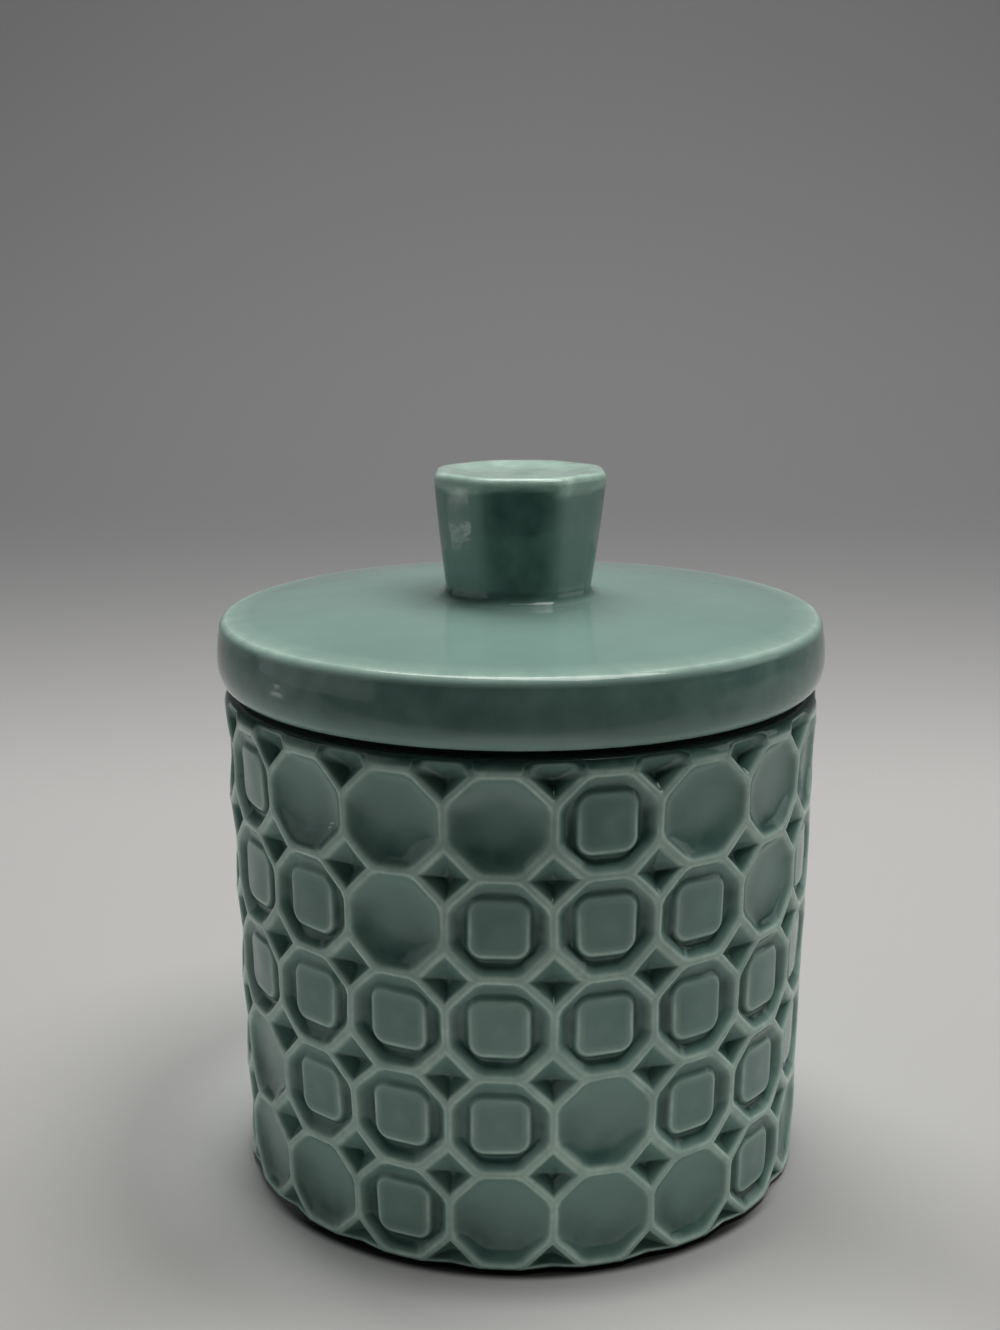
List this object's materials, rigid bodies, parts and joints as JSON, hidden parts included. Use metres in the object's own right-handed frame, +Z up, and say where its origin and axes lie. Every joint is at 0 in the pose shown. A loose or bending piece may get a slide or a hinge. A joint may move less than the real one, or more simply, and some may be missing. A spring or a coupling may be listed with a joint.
{
  "type": "ceramic canister",
  "caption": "Small round canister of glazed ceramic, pressed all over with octagons and diamonds, with a lift-off lid that has a faceted knob and a soft sealing ring; keeps dry food.",
  "frame": {"origin": "middle of the foot, on the surface that the jar stands on", "axes": "+Z up along the jar's axis, -Y the side the picture shows, +X to its right"},
  "size_m": [0.115, 0.115, 0.1345],
  "materials": {
    "glaze": "gloss celadon glaze, paler where it thins on edges",
    "silicone": "matt translucent silicone"
  },
  "bodies": {
    "jar": {"jar_body": "glaze"},
    "lid_assembly": {"lid": "glaze", "lid_knob": "glaze", "lid_seal": "silicone"}
  },
  "joints": [
    {"name": "lid_lift", "type": "slide", "parent": "jar", "child": "lid_assembly", "axis": [0, 0, 1], "range_m": [0, 0.08]}
  ]
}
